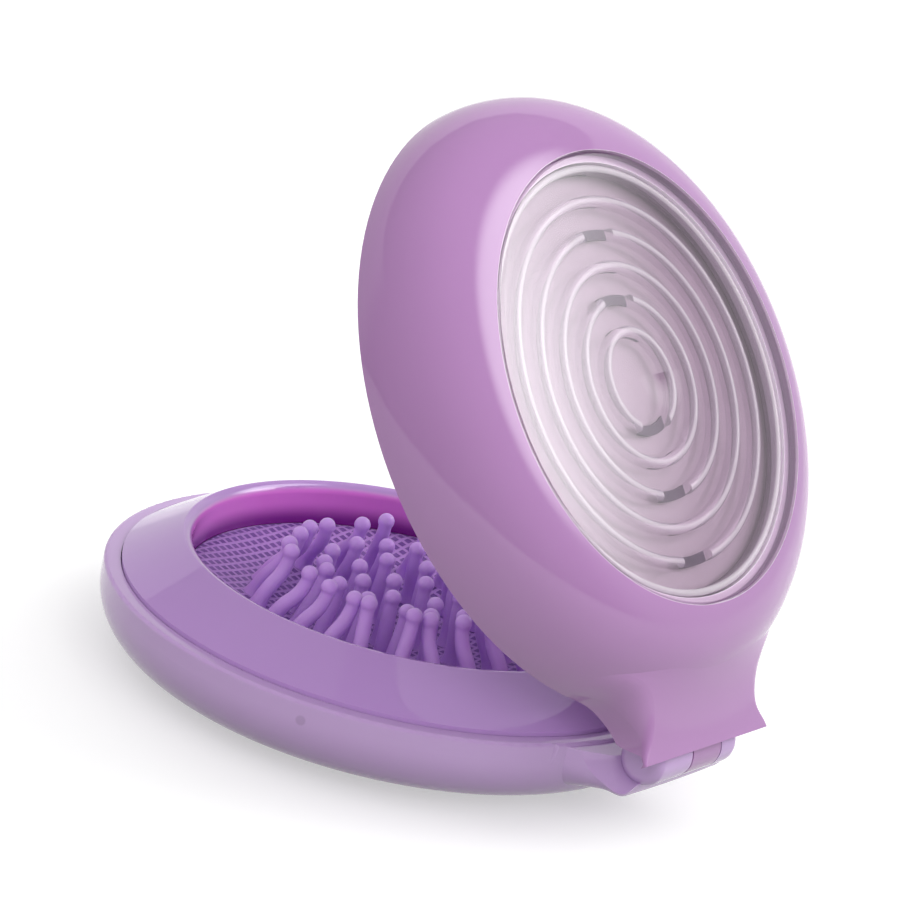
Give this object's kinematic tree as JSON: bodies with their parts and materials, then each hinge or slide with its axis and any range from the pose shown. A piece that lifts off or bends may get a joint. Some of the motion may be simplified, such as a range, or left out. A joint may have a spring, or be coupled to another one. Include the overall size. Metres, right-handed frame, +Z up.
{
  "type": "pop-up styling brush",
  "caption": "Round folding compact brush: a hinged domed lid with a maze window, and a soft bristle pad that a thumb button under the base pops up and spreads.",
  "frame": {"origin": "centre of the flat foot under the base, on the case's axis", "axes": "+Z up along the case's axis, X along the hinge, -Y towards the hinge"},
  "size_m": [0.085, 0.0949, 0.0876],
  "materials": {
    "case": "glossy pale lilac",
    "lid": "glossy pale lilac, a little pinker",
    "inner_plastic": "satin lilac",
    "pad": "matt violet with a fine net",
    "bristle": "satin violet",
    "clear": "clear plastic",
    "silver": "silver-lilac",
    "mirror": "mirror",
    "steel": "bright drawn pin"
  },
  "bodies": {
    "base": {"base_shell": "case", "bezel_ring": "case", "pad_clamp_ring": "inner_plastic", "bristle_pad": "pad", "hinge_pin": "steel"},
    "lid": {"lid_shell": "lid", "window_lens": "clear", "maze_plate": "clear", "maze_backing": "silver", "mirror": "mirror", "mirror_frame": "inner_plastic"},
    "button": {"push_button": "case", "bristles_inner": "bristle", "bristles_centre": "bristle"},
    "outer_1": {"bristles_outer_1": "bristle"},
    "outer_2": {"bristles_outer_2": "bristle"},
    "outer_3": {"bristles_outer_3": "bristle"},
    "outer_4": {"bristles_outer_4": "bristle"},
    "outer_5": {"bristles_outer_5": "bristle"},
    "outer_6": {"bristles_outer_6": "bristle"},
    "outer_7": {"bristles_outer_7": "bristle"},
    "outer_8": {"bristles_outer_8": "bristle"},
    "middle_1": {"bristles_middle_1": "bristle"},
    "middle_2": {"bristles_middle_2": "bristle"},
    "middle_3": {"bristles_middle_3": "bristle"},
    "middle_4": {"bristles_middle_4": "bristle"},
    "middle_5": {"bristles_middle_5": "bristle"},
    "middle_6": {"bristles_middle_6": "bristle"},
    "middle_7": {"bristles_middle_7": "bristle"},
    "middle_8": {"bristles_middle_8": "bristle"}
  },
  "joints": [
    {"name": "lid_hinge", "type": "hinge", "parent": "base", "child": "lid", "pos_m": [0, -0.04808, 0.01252], "axis": [1, 0, 0], "range_deg": [-52.53, 57.47]},
    {"name": "pop_up", "type": "slide", "parent": "base", "child": "button", "axis": [0, 0, 1], "range_m": [0, 0.011], "deforming": ["bristle_pad", "bristles_inner", "bristles_centre", "bristles_outer_1", "bristles_outer_2", "bristles_outer_3", "bristles_outer_4", "bristles_outer_5", "bristles_outer_6", "bristles_outer_7", "bristles_outer_8", "bristles_middle_1", "bristles_middle_2", "bristles_middle_3", "bristles_middle_4", "bristles_middle_5", "bristles_middle_6", "bristles_middle_7", "bristles_middle_8"]},
    {"name": "spread_outer_1", "type": "hinge", "parent": "base", "child": "outer_1", "pos_m": [0.02458, 0.00958, 0.012], "axis": [-0.3633, 0.9317, 0], "range_deg": [0, 43]},
    {"name": "spread_outer_2", "type": "hinge", "parent": "base", "child": "outer_2", "pos_m": [0.0106, 0.02415, 0.012], "axis": [-0.9157, 0.4019, 0], "range_deg": [0, 43]},
    {"name": "spread_outer_3", "type": "hinge", "parent": "base", "child": "outer_3", "pos_m": [-0.00958, 0.02458, 0.012], "axis": [-0.9317, -0.3633, 0], "range_deg": [0, 43]},
    {"name": "spread_outer_4", "type": "hinge", "parent": "base", "child": "outer_4", "pos_m": [-0.02415, 0.0106, 0.012], "axis": [-0.4019, -0.9157, 0], "range_deg": [0, 43]},
    {"name": "spread_outer_5", "type": "hinge", "parent": "base", "child": "outer_5", "pos_m": [-0.02458, -0.00958, 0.012], "axis": [0.3633, -0.9317, 0], "range_deg": [0, 43]},
    {"name": "spread_outer_6", "type": "hinge", "parent": "base", "child": "outer_6", "pos_m": [-0.0106, -0.02415, 0.012], "axis": [0.9157, -0.4019, 0], "range_deg": [0, 43]},
    {"name": "spread_outer_7", "type": "hinge", "parent": "base", "child": "outer_7", "pos_m": [0.00958, -0.02458, 0.012], "axis": [0.9317, 0.3633, 0], "range_deg": [0, 43]},
    {"name": "spread_outer_8", "type": "hinge", "parent": "base", "child": "outer_8", "pos_m": [0.02415, -0.0106, 0.012], "axis": [0.4019, 0.9157, 0], "range_deg": [0, 43]},
    {"name": "spread_middle_1", "type": "hinge", "parent": "base", "child": "middle_1", "pos_m": [0.02676, 0.01043, 0.01285], "axis": [-0.3633, 0.9317, 0], "range_deg": [0, 36]},
    {"name": "spread_middle_2", "type": "hinge", "parent": "base", "child": "middle_2", "pos_m": [0.01154, 0.0263, 0.01285], "axis": [-0.9157, 0.4019, 0], "range_deg": [0, 36]},
    {"name": "spread_middle_3", "type": "hinge", "parent": "base", "child": "middle_3", "pos_m": [-0.01043, 0.02676, 0.01285], "axis": [-0.9317, -0.3633, 0], "range_deg": [0, 36]},
    {"name": "spread_middle_4", "type": "hinge", "parent": "base", "child": "middle_4", "pos_m": [-0.0263, 0.01154, 0.01285], "axis": [-0.4019, -0.9157, 0], "range_deg": [0, 36]},
    {"name": "spread_middle_5", "type": "hinge", "parent": "base", "child": "middle_5", "pos_m": [-0.02676, -0.01043, 0.01285], "axis": [0.3633, -0.9317, 0], "range_deg": [0, 36]},
    {"name": "spread_middle_6", "type": "hinge", "parent": "base", "child": "middle_6", "pos_m": [-0.01154, -0.0263, 0.01285], "axis": [0.9157, -0.4019, 0], "range_deg": [0, 36]},
    {"name": "spread_middle_7", "type": "hinge", "parent": "base", "child": "middle_7", "pos_m": [0.01043, -0.02676, 0.01285], "axis": [0.9317, 0.3633, 0], "range_deg": [0, 36]},
    {"name": "spread_middle_8", "type": "hinge", "parent": "base", "child": "middle_8", "pos_m": [0.0263, -0.01154, 0.01285], "axis": [0.4019, 0.9157, 0], "range_deg": [0, 36]}
  ],
  "couplings": [
    {"joint": "spread_outer_1", "follows": "pop_up", "rad_per_m": 68.227},
    {"joint": "spread_outer_2", "follows": "pop_up", "rad_per_m": 68.227},
    {"joint": "spread_outer_3", "follows": "pop_up", "rad_per_m": 68.227},
    {"joint": "spread_outer_4", "follows": "pop_up", "rad_per_m": 68.227},
    {"joint": "spread_outer_5", "follows": "pop_up", "rad_per_m": 68.227},
    {"joint": "spread_outer_6", "follows": "pop_up", "rad_per_m": 68.227},
    {"joint": "spread_outer_7", "follows": "pop_up", "rad_per_m": 68.227},
    {"joint": "spread_outer_8", "follows": "pop_up", "rad_per_m": 68.227},
    {"joint": "spread_middle_1", "follows": "pop_up", "rad_per_m": 57.12},
    {"joint": "spread_middle_2", "follows": "pop_up", "rad_per_m": 57.12},
    {"joint": "spread_middle_3", "follows": "pop_up", "rad_per_m": 57.12},
    {"joint": "spread_middle_4", "follows": "pop_up", "rad_per_m": 57.12},
    {"joint": "spread_middle_5", "follows": "pop_up", "rad_per_m": 57.12},
    {"joint": "spread_middle_6", "follows": "pop_up", "rad_per_m": 57.12},
    {"joint": "spread_middle_7", "follows": "pop_up", "rad_per_m": 57.12},
    {"joint": "spread_middle_8", "follows": "pop_up", "rad_per_m": 57.12}
  ]
}
